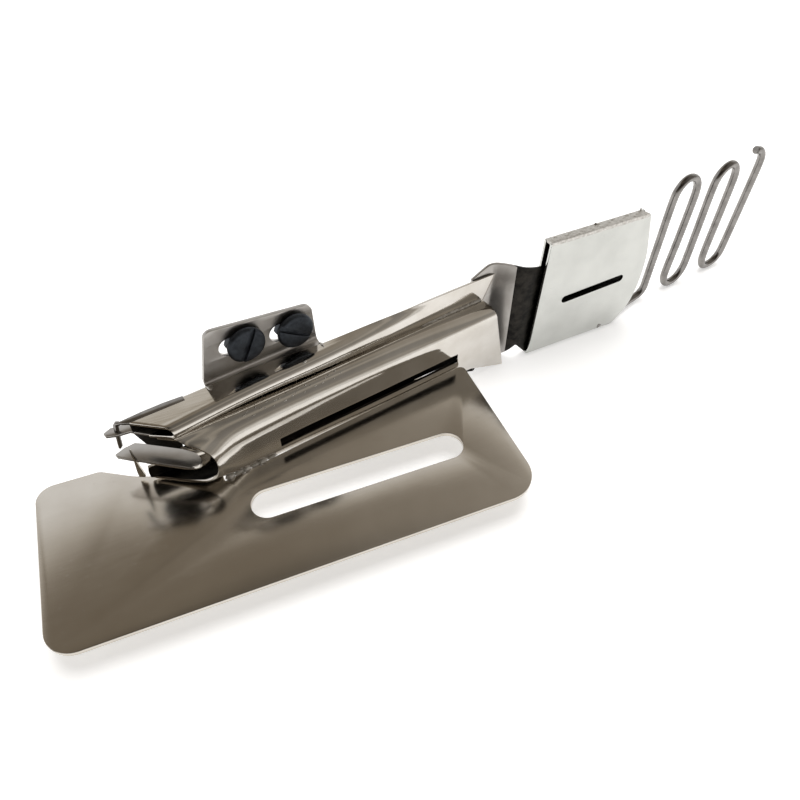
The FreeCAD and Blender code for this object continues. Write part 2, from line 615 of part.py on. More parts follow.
def main():
    plate = basePlate()
    shell = outerShell()
    inner = innerScroll()
    folder = upperChannel()
    guard = edgeGuard(folder)
    tooth = lowerTooth(shell)
    tab = bracket()
    screws = [screw("screw_left", 0, -62), screw("screw_right", 1, 25)]
    nuts = [nut("nut_left", 0), nut("nut_right", 1)]
    sleeve = tapeSleeve(folder)
    seam = sleeveSeam()
    wire = tensionWire()
    doc.recompute()
    pitch = size("bead_pitch")
    radius = size("bead_radius")
    plateBeads = beadRow("plate_solder",
                         [Vector(0.9 + pitch * number, 0.2, plateTop + 0.4)
                          for number in range(3)], radius, [plate, shell], scrollPlace)
    valley = valleySolder(shell)
    wireBead = wireSolder(wire, sleeve)
    parts = [plate, shell, inner, folder, guard, tooth, tab, *screws, *nuts, sleeve, seam, wire,
             plateBeads, valley, wireBead]
    doc.recompute()
    for thing in doc.Objects:
        if "Invalid" in thing.State or "Error" in thing.State:
            raise RuntimeError("%s failed: %s" % (thing.Label, thing.State))
    for thing in parts:
        if thing.Shape.isNull() or not thing.Shape.isValid() or not thing.Shape.Solids:
            raise RuntimeError("%s has no valid solid" % thing.Label)
    os.makedirs("parts", exist_ok=True)
    for thing in parts:
        thing.Shape.exportStep(os.path.join("parts", thing.Label + ".step"))
        print(thing.Label, len(thing.Shape.Solids), round(thing.Shape.Volume, 2))


main()
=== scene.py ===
import math
import bpy
from mathutils import Matrix, Vector, noise


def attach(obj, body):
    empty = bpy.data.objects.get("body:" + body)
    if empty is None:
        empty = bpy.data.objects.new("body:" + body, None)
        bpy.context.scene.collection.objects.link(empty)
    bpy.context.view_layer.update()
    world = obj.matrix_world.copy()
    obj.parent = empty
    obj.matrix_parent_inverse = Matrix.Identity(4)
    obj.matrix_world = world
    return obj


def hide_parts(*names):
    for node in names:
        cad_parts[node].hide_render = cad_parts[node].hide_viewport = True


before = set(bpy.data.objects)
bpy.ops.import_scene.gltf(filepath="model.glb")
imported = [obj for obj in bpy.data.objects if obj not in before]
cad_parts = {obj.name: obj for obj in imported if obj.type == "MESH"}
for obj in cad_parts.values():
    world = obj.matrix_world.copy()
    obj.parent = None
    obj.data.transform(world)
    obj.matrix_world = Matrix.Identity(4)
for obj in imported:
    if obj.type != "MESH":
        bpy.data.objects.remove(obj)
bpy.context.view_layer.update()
print("frame loaded:", len(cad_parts), "nodes")

mm = 0.001
# every piece is modelled in millimetres in its own frame, then put in place and scaled
starts = {"plate": (0, 0, 0), "scroll": (-0.01874, 0.00622, 0), "sleeve": (0.03801, 0.01706, 0),
          "wire": (0.07423, 0.02479, 0)}
turns = {"plate": 0.0, "scroll": 11.78, "sleeve": 4.1, "wire": 10.24}  # degrees round the upright axis
frames = {place: Matrix.Translation(starts[place]) @ Matrix.Rotation(math.radians(turns[place]), 4, "Z")
          @ Matrix.Scale(mm, 4) for place in starts}


def deselect():
    bpy.ops.object.select_all(action="DESELECT")


def modify(piece, kind, **settings):
    modifier = piece.modifiers.new(kind.lower(), kind)
    for name, value in settings.items():
        setattr(modifier, name, value)
    bpy.context.view_layer.objects.active = piece
    bpy.ops.object.modifier_apply(modifier=modifier.name)


def roundRims(piece, width, angle, segments=2):
    # round every edge that is sharper than the angle
    modify(piece, "BEVEL", width=width, segments=segments, limit_method="ANGLE",
           angle_limit=math.radians(angle))


def editParts(piece, mode, chosen, action):
    # select faces or vertices by place, then work on them in edit mode
    deselect()
    piece.select_set(True)
    bpy.context.view_layer.objects.active = piece
    bpy.ops.object.mode_set(mode="EDIT")
    bpy.ops.mesh.select_mode(type=mode)
    bpy.ops.mesh.select_all(action="DESELECT")
    bpy.ops.object.mode_set(mode="OBJECT")
    parts = {"FACE": piece.data.polygons, "VERT": piece.data.vertices}[mode]
    for part in parts:
        part.select = bool(chosen(part))
    bpy.ops.object.mode_set(mode="EDIT")
    action()
    bpy.ops.object.mode_set(mode="OBJECT")


def cut(piece, cutter):
    modify(piece, "BOOLEAN", operation="DIFFERENCE", object=cutter, solver="EXACT")
    bpy.data.objects.remove(cutter)


def join(first, *others):
    deselect()
    for other in (first, *others):
        other.select_set(True)
    bpy.context.view_layer.objects.active = first
    bpy.ops.object.join()
    return first


def settle(piece, name, place, nodes, material, smooth=30):
    piece.name = name
    piece.data.name = name
    deselect()
    piece.select_set(True)
    bpy.context.view_layer.objects.active = piece
    bpy.context.view_layer.update()
    piece.matrix_world = frames[place] @ piece.matrix_world
    bpy.ops.object.transform_apply(location=True, rotation=True, scale=True)
    bpy.ops.object.shade_smooth_by_angle(angle=math.radians(smooth))
    if piece.data.materials:
        piece.data.materials[0] = material
    else:
        piece.data.materials.append(material)
    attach(piece, "root")
    if nodes:
        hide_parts(*nodes)
    return piece


# materials
def linearColour(text):
    channels = [int(text[i:i + 2], 16) / 255 for i in (1, 3, 5)]
    return [c / 12.92 if c <= 0.04045 else ((c + 0.055) / 1.055) ** 2.4 for c in channels] + [1.0]


def addNode(tree, kind, settings=None, inputs=None, stops=None):
    node = tree.nodes.new(kind)
    for name, value in (settings or {}).items():
        setattr(node, name, value)
    for name, value in (inputs or {}).items():
        if isinstance(value, bpy.types.NodeSocket):
            tree.links.new(value, node.inputs[name])
        else:
            node.inputs[name].default_value = value
    if stops:  # the tones of a colour ramp
        elements = node.color_ramp.elements
        elements[0].position, elements[0].color = stops[0]
        elements[1].position, elements[1].color = stops[-1]
        for position, tone in stops[1:-1]:
            elements.new(position).color = tone
    return node


def newMaterial(name):
    material = bpy.data.materials.new(name)
    material.use_nodes = True
    tree = material.node_tree
    return material, tree, tree.nodes["Principled BSDF"]


black, white = (0, 0, 0, 1), (1, 1, 1, 1)


def rolledSteel(name, look):
    # rolled or drawn steel: hairlines along the rolling direction, faint cloudy buffing marks
    # and a few bright specks where solder dust was left
    material, tree, shader = newMaterial(name)
    place = addNode(tree, "ShaderNodeTexCoord").outputs["Object"]
    along = addNode(tree, "ShaderNodeMapping", None, {
        "Vector": place, "Rotation": (0, 0, math.radians(-look["grainTurn"])),
        "Scale": (1000 / look["grainLong"], 1000 / look["grainWide"], 1000 / look["grainWide"])})
    hairlines = addNode(tree, "ShaderNodeTexNoise", None, {
        "Vector": along.outputs["Vector"], "Scale": 1.0, "Detail": 4.0, "Roughness": 0.62})
    clouds = addNode(tree, "ShaderNodeTexNoise", None, {
        "Vector": place, "Scale": 1000 / look["cloud"], "Detail": 3.0, "Roughness": 0.55})
    speck = addNode(tree, "ShaderNodeTexVoronoi", None, {
        "Vector": place, "Scale": 1000 / look["speck"], "Randomness": 1.0})
    dots = addNode(tree, "ShaderNodeValToRGB", None, {"Fac": speck.outputs["Distance"]},
                   [(0.05, white), (0.16, black)]).outputs["Color"]
    patches = addNode(tree, "ShaderNodeValToRGB", None, {"Fac": clouds.outputs["Fac"]},
                      [(0.35, black), (0.7, white)]).outputs["Color"]
    rough = addNode(tree, "ShaderNodeMapRange", None, {
        "Value": hairlines.outputs["Fac"], "From Min": 0.3, "From Max": 0.7,
        "To Min": look["roughLow"], "To Max": look["roughHigh"]})
    cloudy = addNode(tree, "ShaderNodeMath", {"operation": "MULTIPLY_ADD"}, {
        0: clouds.outputs["Fac"], 1: look["cloudRough"], 2: rough.outputs["Result"]})
    final = addNode(tree, "ShaderNodeMath", {"operation": "MULTIPLY_ADD"}, {
        0: dots, 1: look["speckRough"], 2: cloudy.outputs["Value"]})
    tree.links.new(final.outputs["Value"], shader.inputs["Roughness"])
    tint = addNode(tree, "ShaderNodeMix", {"data_type": "RGBA"}, {
        "Factor": patches, "A": linearColour(look["colour"]), "B": linearColour(look["shade"])})
    tree.links.new(tint.outputs["Result"], shader.inputs["Base Color"])
    height = addNode(tree, "ShaderNodeMath", {"operation": "MULTIPLY_ADD"}, {
        0: dots, 1: look["speckHeight"], 2: hairlines.outputs["Fac"]})
    bump = addNode(tree, "ShaderNodeBump", None, {
        "Strength": look["bump"], "Distance": 0.00004, "Height": height.outputs["Value"]})
    tree.links.new(bump.outputs["Normal"], shader.inputs["Normal"])
    shader.inputs["Metallic"].default_value = 1.0
    return material


# the scroll: nickel-plated sheet, buffed to a clear mirror
mirrorLook = {"colour": "#D2CEC8", "shade": "#C6C1B9", "grainTurn": turns["scroll"], "grainLong": 9.0,
              "grainWide": 0.35, "cloud": 5.0, "speck": 0.6, "roughLow": 0.04, "roughHigh": 0.09,
              "cloudRough": 0.04, "speckRough": 0.08, "speckHeight": 0.3, "bump": 0.12}
# the base plate: satin polished, so that it mirrors the scroll softly
plateLook = {"colour": "#CDC8C0", "shade": "#C4BEB5", "grainTurn": turns["plate"], "grainLong": 5.0,
             "grainWide": 0.25, "cloud": 9.0, "speck": 1.6, "roughLow": 0.15, "roughHigh": 0.19,
             "cloudRough": 0.03, "speckRough": 0.06, "speckHeight": 0.1, "bump": 0.06}
# the blades, the bracket and the neck: ground dull, grey and even
satinLook = {"colour": "#B2AFAB", "shade": "#A5A19D", "grainTurn": 40.0, "grainLong": 5.0, "grainWide": 0.15,
             "cloud": 3.0, "speck": 0.8, "roughLow": 0.3, "roughHigh": 0.36, "cloudRough": 0.02,
             "speckRough": 0.02, "speckHeight": 0.05, "bump": 0.02}
# the sleeve: brushed along its length, pale under the white wall
sleeveLook = {"colour": "#C9CAC6", "shade": "#BFC0BC", "grainTurn": turns["sleeve"], "grainLong": 5.0,
              "grainWide": 0.2, "cloud": 6.0, "speck": 1.3, "roughLow": 0.14, "roughHigh": 0.22,
              "cloudRough": 0.03, "speckRough": 0.08, "speckHeight": 0.2, "bump": 0.16}
# the wire and the edge guard: drawn steel left unplated, darker
wireLook = {"colour": "#8F8C89", "shade": "#787572", "grainTurn": turns["wire"], "grainLong": 1.2,
            "grainWide": 1.2, "cloud": 1.6, "speck": 0.8, "roughLow": 0.1, "roughHigh": 0.17,
            "cloudRough": 0.05, "speckRough": 0.1, "speckHeight": 0.3, "bump": 0.2}
mirrorSteel = rolledSteel("nickelPlatedMirrorSheet", mirrorLook)
plateSteel = rolledSteel("satinPolishedPlate", plateLook)
sleeveSteel = rolledSteel("brushedSleeveSheet", sleeveLook)
wireSteel = rolledSteel("drawnSteelWire", wireLook)
satinSteel = rolledSteel("satinGroundSheet", satinLook)


def castSolder(name, look):
    # tin solder that set unwiped: grainy grey metal with frosted patches and small pits
    material, tree, shader = newMaterial(name)
    place = addNode(tree, "ShaderNodeTexCoord").outputs["Object"]
    grain = addNode(tree, "ShaderNodeTexNoise", None, {
        "Vector": place, "Scale": 1000 / look["grain"], "Detail": 5.0, "Roughness": 0.65})
    pits = addNode(tree, "ShaderNodeTexVoronoi", None, {"Vector": place, "Scale": 1000 / look["pit"]})
    tone = addNode(tree, "ShaderNodeValToRGB", None, {"Fac": grain.outputs["Fac"]}, [
        (0.3, linearColour(look["dark"])), (0.72, linearColour(look["light"]))])
    tree.links.new(tone.outputs["Color"], shader.inputs["Base Color"])
    rough = addNode(tree, "ShaderNodeMapRange", None, {
        "Value": grain.outputs["Fac"], "From Min": 0.3, "From Max": 0.7, "To Min": 0.28, "To Max": 0.6})
    tree.links.new(rough.outputs["Result"], shader.inputs["Roughness"])
    height = addNode(tree, "ShaderNodeMath", {"operation": "MULTIPLY_ADD"}, {
        0: grain.outputs["Fac"], 1: 1.0, 2: pits.outputs["Distance"]})
    bump = addNode(tree, "ShaderNodeBump", None, {
        "Strength": 0.7, "Distance": 0.0001, "Height": height.outputs["Value"]})
    tree.links.new(bump.outputs["Normal"], shader.inputs["Normal"])
    shader.inputs["Metallic"].default_value = 1.0
    return material


def paintedShadeSheet(name, look):
    # painted shade for the insides of the sheets, where light does not reach: near black, in uneven blotches
    material, tree, shader = newMaterial(name)
    place = addNode(tree, "ShaderNodeTexCoord").outputs["Object"]
    blotch = addNode(tree, "ShaderNodeTexNoise", None, {
        "Vector": place, "Scale": 1000 / look["blotch"], "Detail": 4.0, "Roughness": 0.6})
    tone = addNode(tree, "ShaderNodeValToRGB", None, {"Fac": blotch.outputs["Fac"]}, [
        (0.35, linearColour(look["dark"])), (0.75, linearColour(look["light"]))])
    tree.links.new(tone.outputs["Color"], shader.inputs["Base Color"])
    rough = addNode(tree, "ShaderNodeMapRange", None, {
        "Value": blotch.outputs["Fac"], "From Min": 0.3, "From Max": 0.7, "To Min": 0.3, "To Max": 0.5})
    tree.links.new(rough.outputs["Result"], shader.inputs["Roughness"])
    bump = addNode(tree, "ShaderNodeBump", None, {
        "Strength": 0.4, "Distance": 0.00005, "Height": blotch.outputs["Fac"]})
    tree.links.new(bump.outputs["Normal"], shader.inputs["Normal"])
    shader.inputs["Metallic"].default_value = 1.0
    return material


# near black painted shade, used on insides, folds and the dark back of the mouth
paintedShade = paintedShadeSheet("paintedShadeSheetInside", {"blotch": 1.5, "dark": "#1B1A19", "light": "#3A3733"})
solderTin = castSolder("tinSolder", {"grain": 0.6, "pit": 0.5, "dark": "#A29E97", "light": "#ECEAE6"})


def blackenedSteel(name, look):
    # machined steel with a black oxide skin: dark, satin, with turning rings worn lighter
    material, tree, shader = newMaterial(name)
    place = addNode(tree, "ShaderNodeTexCoord").outputs["Object"]
    wear = addNode(tree, "ShaderNodeTexNoise", None, {
        "Vector": place, "Scale": 1000 / look["wear"], "Detail": 4.0, "Roughness": 0.6})
    fine = addNode(tree, "ShaderNodeTexNoise", None, {
        "Vector": place, "Scale": 1000 / look["fine"], "Detail": 2.0})
    tone = addNode(tree, "ShaderNodeValToRGB", None, {"Fac": wear.outputs["Fac"]}, [
        (0.35, linearColour(look["colour"])), (0.75, linearColour(look["worn"]))])
    tree.links.new(tone.outputs["Color"], shader.inputs["Base Color"])
    rough = addNode(tree, "ShaderNodeMapRange", None, {
        "Value": wear.outputs["Fac"], "From Min": 0.3, "From Max": 0.7, "To Min": 0.34, "To Max": 0.52})
    tree.links.new(rough.outputs["Result"], shader.inputs["Roughness"])
    bump = addNode(tree, "ShaderNodeBump", None, {
        "Strength": 0.4, "Distance": 0.00004, "Height": fine.outputs["Fac"]})
    tree.links.new(bump.outputs["Normal"], shader.inputs["Normal"])
    shader.inputs["Metallic"].default_value = 0.85
    return material


blackSteel = blackenedSteel("blackOxideScrewSteel", {
    "colour": "#2B2E33", "worn": "#454A50", "wear": 1.4, "fine": 0.25})
print("materials made")


# bent sheets, flat blanks and cutters
def curveAt(points, marks, spot):
    # smooth line through points, each with its mark from 0 to 1 along the line
    last = len(points) - 2
    span = next((i for i in range(last + 1) if spot <= marks[i + 1]), last)
    width = marks[span + 1] - marks[span]
    share = (spot - marks[span]) / width

    def slope(number):
        before, after = max(number - 1, 0), min(number + 1, len(points) - 1)
        return (points[after] - points[before]) / (marks[after] - marks[before])

    a, b = points[span], points[span + 1]
    square, cube = share ** 2, share ** 3
    return (a * (2 * cube - 3 * square + 1) + b * (3 * square - 2 * cube)
            + slope(span) * width * (cube - 2 * square + share) + slope(span + 1) * width * (cube - square))


def stepMarks(points):
    run = [0.0]
    for before, after in zip(points, points[1:]):
        run.append(run[-1] + (after - before).length)
    return [value / run[-1] for value in run]


mouthPlane = {"start": (-1.68, -0.38), "azimuth": 136.7}


def atMouth(across, level):
    angle = math.radians(mouthPlane["azimuth"])
    return Vector((mouthPlane["start"][0] + across * math.cos(angle),
                   mouthPlane["start"][1] + across * math.sin(angle), level))


def atCut(along, lean=0.0, pivot=0.0):
    tilt = math.tan(math.radians(lean))
    return lambda across, level: Vector((along + (level - pivot) * tilt, across, level))


acrossMouth = (atMouth(1, 0) - atMouth(0, 0)).normalized()
outOfMouth = Vector((-acrossMouth.y, acrossMouth.x, 0))


def bentSheet(sections, columns, rows):
    # a grid laid smoothly through the section lines, before it gets its wall
    rings = [[seat(across, level) for across, level in points] for seat, points in sections]
    acrossMarks = [sum(values) / len(rings) for values in zip(*[stepMarks(ring) for ring in rings])]
    alongMarks = stepMarks([ring[len(ring) // 2] for ring in rings])
    deselect()
    bpy.ops.mesh.primitive_grid_add(x_subdivisions=columns, y_subdivisions=rows, size=1)
    piece = bpy.context.object
    for vertex in piece.data.vertices:
        across, along = vertex.co.x + 0.5, vertex.co.y + 0.5
        line = [curveAt(ring, acrossMarks, min(max(across, 0), 1)) for ring in rings]
        vertex.co = curveAt(line, alongMarks, min(max(along, 0), 1))
    return piece


def giveWall(piece, thick, rim, shadedSide=0):
    # the last argument paints shade: 1 on the new side of the wall, -1 on the side that was there before
    if shadedSide:
        piece.data.materials.append(mirrorSteel)
        piece.data.materials.append(paintedShade)
        for face in piece.data.polygons:
            face.material_index = 1 if shadedSide < 0 else 0
    modify(piece, "SOLIDIFY", thickness=thick, offset=1.0, use_even_offset=shadedSide >= 0,
           material_offset=shadedSide, material_offset_rim=min(shadedSide, 0))
    roundRims(piece, rim, 50)


def newBlank(vertices, edges, faces):
    mesh = bpy.data.meshes.new("blank")
    mesh.from_pydata(vertices, edges, faces)
    piece = bpy.data.objects.new("blank", mesh)
    bpy.context.scene.collection.objects.link(piece)
    return piece


def filledOutline(outline, level=0):
    return newBlank([(x, y, level) for x, y in outline], [], [list(range(len(outline)))])


def thicken(piece, thick):
    # a flat face gets its wall upwards
    if piece.data.polygons[0].normal.z < 0:
        piece.data.flip_normals()
    modify(piece, "SOLIDIFY", thickness=thick, offset=1.0)


def flatPlate(outline, level, thick, rim):
    piece = filledOutline(outline, level)
    thicken(piece, thick)
    roundRims(piece, rim, 40)
    return piece


def uprightPlate(points, pull, rim):
    # a thin flat piece from its corners in space, pulled along a vector
    count = len(points)
    vertices = [Vector(p) for p in points] + [Vector(p) + Vector(pull) for p in points]
    faces = [list(range(count))[::-1], list(range(count, 2 * count))]
    faces += [[i, (i + 1) % count, (i + 1) % count + count, i + count] for i in range(count)]
    piece = newBlank(vertices, [], faces)
    editParts(piece, "FACE", lambda face: True, lambda: bpy.ops.mesh.normals_make_consistent(inside=False))
    roundRims(piece, rim, 30)
    return piece


def stadium(long, wide, steps=20):
    # the outline of a slot with round ends
    half, radius = (long - wide) / 2, wide / 2
    points = []
    for side, first in ((1, -90), (-1, 90)):
        for step in range(steps + 1):
            angle = math.radians(first + 180 * step / steps)
            points.append((side * half + radius * math.cos(angle), radius * math.sin(angle)))
    return points


def roundedOutline(corners):
    # an outline of straight edges, each corner rounded to its own radius
    piece = filledOutline([spot for spot, radius in corners])
    for (x, y), radius in corners:
        if radius > 0:
            editParts(piece, "VERT", lambda vertex: (vertex.co - Vector((x, y, 0))).length < 0.01,
                      lambda: bpy.ops.mesh.bevel(offset=radius, segments=12, affect="VERTICES"))
    return piece


def prismOf(outline, low, high):
    piece = filledOutline(outline, low)
    thicken(piece, high - low)
    return piece


upright = Matrix.Rotation(math.radians(90), 4, "X")  # turns an outline drawn flat up into the X and Z plane


def trimUpright(piece, corners, near, far):
    # keep what lies inside an outline that is seen from the front, between two depths
    blank = roundedOutline(corners)
    thicken(blank, far - near)
    blank.data.transform(Matrix.Translation((0, far, 0)) @ upright)
    modify(piece, "BOOLEAN", operation="INTERSECT", object=blank, solver="EXACT")
    bpy.data.objects.remove(blank)


# base plate
plate = {
    "low": 4.1, "thick": 0.8, "rim": 0.09,
    "corners": [((-44.5, -12.4), 4.0), ((23.7, -12.4), 5.0), ((23.7, 14.95), 1.2), ((-18.72, 6.1), 0.15),
                ((-18.9, 7.9), 0.3), ((-20.8, 7.95), 0.3), ((-30.8, 11.85), 1.0), ((-35.5, 14.7), 0.5),
                ((-44.5, 14.7), 2.6)],
    "slotLong": 32.7, "slotWide": 5.0,
}
base = roundedOutline(plate["corners"])
thicken(base, plate["thick"])
base.data.transform(Matrix.Translation((0, 0, plate["low"])))
cut(base, prismOf(stadium(plate["slotLong"], plate["slotWide"]), plate["low"] - 1, plate["low"] + 2))
roundRims(base, plate["rim"], 40, 3)
settle(base, "slottedBasePlate", "plate", ["base_plate"], plateSteel)
print("base plate made")

# outer scroll
shell = {
    "thick": 0.45, "rim": 0.05, "columns": 84, "rows": 110,
    "earlyAt": 5.0, "middleAt": 30.0, "endAt": 52.7, "endLean": -12.6, "frontTo": 2.6, "slitTo": 1.6,
    "slitStart": 9.4, "slitEnd": 42.2, "slitLow": 6.05, "slitHigh": 7.85,
    "mouth": [(9.5, 7.9), (9.75, 6.6), (9.4, 5.2), (6.5, 5.2), (3.6, 5.3), (1.2, 5.8), (-0.5, 7.0),
              (-1.35, 8.8), (-1.5, 10.6), (-1.1, 12.1), (-0.3, 13.0), (0.8, 13.6), (1.9, 13.85),
              (2.8, 14.25), (3.5, 14.8), (4.7, 15.0), (6.2, 14.95)],
    "early": [(5.5, 7.0), (5.6, 5.6), (5.3, 4.5), (4.0, 4.2), (2.5, 4.15), (1.2, 4.2), (0.35, 4.6),
              (0.02, 5.6), (-0.06, 7.4), (-0.06, 9.4), (0.0, 11.0), (0.4, 12.4), (1.1, 13.5),
              (1.9, 14.1), (2.7, 14.35), (3.6, 14.45), (5.0, 14.45)],
    "middle": [(3.2, 5.0), (3.3, 3.6), (3.0, 2.4), (2.0, 2.2), (1.1, 2.3), (0.4, 2.9), (0.06, 4.1),
               (0, 5.4), (0, 7.0), (0, 8.6), (0, 10.2), (0.08, 11.7), (0.55, 12.9),
               (1.5, 13.9), (2.6, 14.1), (3.5, 13.75), (4.4, 13.5)],
    "end": [(0, 0.02), (0, 0.6), (0, 1.2), (0, 1.9), (0, 2.8), (0, 4.0), (0, 5.4),
            (0, 7.0), (0, 8.6), (0, 10.0), (0, 11.3), (0.03, 12.4), (0.5, 13.15),
            (1.5, 13.5), (2.7, 13.55), (3.8, 13.3), (4.15, 12.6)],
}
outer = bentSheet([
    (atMouth, shell["mouth"]), (atCut(shell["earlyAt"]), shell["early"]),
    (atCut(shell["middleAt"]), shell["middle"]), (atCut(shell["endAt"], shell["endLean"]), shell["end"]),
], shell["columns"], shell["rows"])
for spot, normal in (((0, 0, shell["slitLow"]), (0, 0, 1)), ((0, 0, shell["slitHigh"]), (0, 0, 1)),
                     ((shell["slitStart"], 0, 0), (1, 0, 0)), ((shell["slitEnd"], 0, 0), (1, 0, 0))):
    editParts(outer, "FACE", lambda face: face.center.y < shell["frontTo"],
              lambda: bpy.ops.mesh.bisect(plane_co=spot, plane_no=normal))
editParts(outer, "FACE", lambda face: face.center.y < shell["slitTo"]
          and shell["slitStart"] < face.center.x < shell["slitEnd"]
          and shell["slitLow"] < face.center.z < shell["slitHigh"], lambda: bpy.ops.mesh.delete(type="FACE"))
# the inside of the shell, the side that was there before, takes painted shade
giveWall(outer, shell["thick"], shell["rim"], -1)
settle(outer, "outerScroll", "scroll", ["outer_shell"], mirrorSteel)
print("outer scroll made")

# inner scroll
innerSheet = {
    "thick": 0.45, "rim": 0.05, "columns": 60, "rows": 60, "middleAt": 30.0, "endAt": 45.5,
    "mouth": [(9.5, 8.4), (7.5, 8.35), (5.0, 8.3), (3.0, 8.35), (1.6, 8.9), (0.8, 10.0), (0.75, 11.4),
              (1.15, 12.4), (2.1, 12.95), (3.2, 13.3)],
    "middle": [(2.9, 6.5), (2.5, 5.8), (2.0, 5.3), (1.5, 5.3), (1.1, 5.8), (0.95, 7.0), (0.9, 8.8),
               (0.9, 10.6), (1.0, 11.8), (1.4, 12.6)],
    "end": [(1.5, 5.3), (1.4, 5.0), (1.25, 4.85), (1.1, 4.9), (1.0, 5.4), (0.95, 7.0), (0.9, 8.8),
            (0.9, 10.6), (1.0, 11.8), (1.3, 12.4)],
    "blade": [(-3.4, 1.25), (-8.6, 6.15), (-9.9, 7.35), (-11.65, 9.15), (-11.8, 9.75), (-10.4, 10.25),
              (-8.7, 10.35), (-5.6, 7.75), (-2.7, 5.3), (-1.2, 4.0), (-1.6, 1.4)],
    "bladeLevel": 8.42, "bladeRim": 0.07, "darkFrom": -0.6,
}
inner = bentSheet([
    (atMouth, innerSheet["mouth"]), (atCut(innerSheet["middleAt"]), innerSheet["middle"]),
    (atCut(innerSheet["endAt"]), innerSheet["end"]),
], innerSheet["columns"], innerSheet["rows"])
giveWall(inner, innerSheet["thick"], innerSheet["rim"])
inner.data.materials.append(mirrorSteel)
inner.data.materials.append(paintedShade)
# painted shade on the inner scroll behind the mouth, inside the shell; only its front stays mirror
for face in inner.data.polygons:
    face.material_index = 1 if face.center.x > innerSheet["darkFrom"] else 0
blade = flatPlate(innerSheet["blade"], innerSheet["bladeLevel"], innerSheet["thick"], innerSheet["bladeRim"])
blade.data.materials.append(satinSteel)
settle(join(inner, blade), "innerScroll", "scroll", ["inner_scroll"], mirrorSteel)
print("inner scroll made")

# upper edge folder
folder = {
    "thick": 0.42, "rim": 0.05, "columns": 60, "rows": 110,
    "earlyAt": 8.0, "middleAt": 21.5, "lateAt": 39.0, "endAt": 50.0, "endLean": 26.0, "endPivot": 13.0,
    "mouth": [(10.5, 16.7), (8.0, 16.73), (5.6, 16.75), (4.4, 16.75), (3.8, 16.5), (3.6, 16.0), (3.8, 15.6),
              (4.5, 15.42), (5.6, 15.3), (7.3, 15.1)],
    "early": [(6.6, 16.72), (5.4, 16.73), (4.2, 16.73), (3.45, 16.65), (3.05, 16.3), (2.95, 15.8),
              (3.15, 15.35), (3.7, 15.1), (4.5, 15.0), (5.5, 14.95)],
    "middle": [(5.5, 16.75), (4.8, 16.74), (4.1, 16.7), (3.55, 16.5), (3.3, 16.05), (3.2, 15.5), (3.3, 14.95),
               (3.6, 14.5), (4.0, 14.2), (4.6, 14.05)],
    "late": [(4.85, 17.45), (4.75, 17.05), (4.6, 16.6), (4.45, 16.1), (4.35, 15.6), (4.25, 15.0), (4.2, 14.4),
             (4.2, 13.8), (4.25, 13.2), (4.3, 12.6)],
    "end": [(4.4, 17.6), (4.4, 17.1), (4.4, 16.5), (4.4, 15.9), (4.4, 15.3), (4.4, 14.7), (4.4, 14.1),
            (4.4, 13.4), (4.4, 12.6), (4.4, 11.8)],
    "blade": [(-6.1, 4.1), (-7.1, 4.9), (-8.9, 6.7), (-10.6, 7.0), (-11.9, 7.6), (-12.0, 8.3), (-10.9, 8.75),
              (-7.6, 8.1), (9.0, 6.2), (9.0, 4.9)],
    "bladeLevel": 14.66, "bladeRim": 0.07,
    "screen": [(3.9, 15.3), (10.9, 15.2), (10.9, 12.6), (9.6, 10.6), (4.2, 10.6)],
    "rear": [(-8.6, 6.6, 14.9), (9.5, 6.3, 14.9), (9.5, 6.3, 16.78), (-8.6, 6.6, 16.78)],
    "screenBack": 2.0, "foldThick": 0.3, "foldRim": 0.05,
}
upper = bentSheet([
    (atMouth, folder["mouth"]), (atCut(folder["earlyAt"]), folder["early"]),
    (atCut(folder["middleAt"]), folder["middle"]), (atCut(folder["lateAt"]), folder["late"]),
    (atCut(folder["endAt"], folder["endLean"], folder["endPivot"]), folder["end"]),
], folder["columns"], folder["rows"])
# the new side of the folder's wall, inside its channel, takes painted shade
giveWall(upper, folder["thick"], folder["rim"], 1)
# the folds inside the mouth, which show only as its dark back, are flat sheets painted with shade
screen = uprightPlate([atMouth(across, level) - outOfMouth * folder["screenBack"]
                       for across, level in folder["screen"]],
                      outOfMouth * folder["foldThick"], folder["foldRim"])
screen.data.materials.append(paintedShade)
rear = uprightPlate(folder["rear"], (0, -folder["foldThick"], 0), folder["foldRim"])
rear.data.materials.append(paintedShade)
tongue = flatPlate(folder["blade"], folder["bladeLevel"], folder["thick"], folder["bladeRim"])
tongue.data.materials.append(satinSteel)
settle(join(upper, tongue, rear, screen), "upperEdgeFolder", "scroll", ["upper_edge_folder"],
       mirrorSteel)
print("upper edge folder made")

# adjusting bracket
bracket = {
    "thick": 0.6, "rim": 0.07, "start": 1.5, "end": 21.5, "columns": 70, "rows": 4, "near": 1.0, "far": 9.0,
    "profile": [(3.6, 16.87), (4.6, 16.87), (5.6, 16.87), (6.3, 16.87), (6.62, 16.9), (6.93, 17.03),
                (7.12, 17.3), (7.2, 17.7), (7.2, 18.6), (7.2, 20.5), (7.2, 23.0), (7.2, 26.5)],
    "face": [((2.6, 16.0), 0), ((20.4, 16.0), 0), ((20.4, 17.4), 0), ((20.15, 23.55), 1.1),
             ((4.3, 25.8), 1.1), ((2.6, 17.6), 0.3)],
    "holes": [((8.4, 21.9), 5.4), ((15.9, 20.8), 5.4)], "holeWide": 3.0,
    "screws": [((9.4, 21.9), 63), ((16.9, 20.8), -34)],
}
tab = bentSheet([(atCut(bracket["start"]), bracket["profile"]), (atCut(bracket["end"]), bracket["profile"])],
                bracket["columns"], bracket["rows"])
modify(tab, "SOLIDIFY", thickness=bracket["thick"], offset=1.0, use_even_offset=True)
trimUpright(tab, bracket["face"], bracket["near"], bracket["far"])
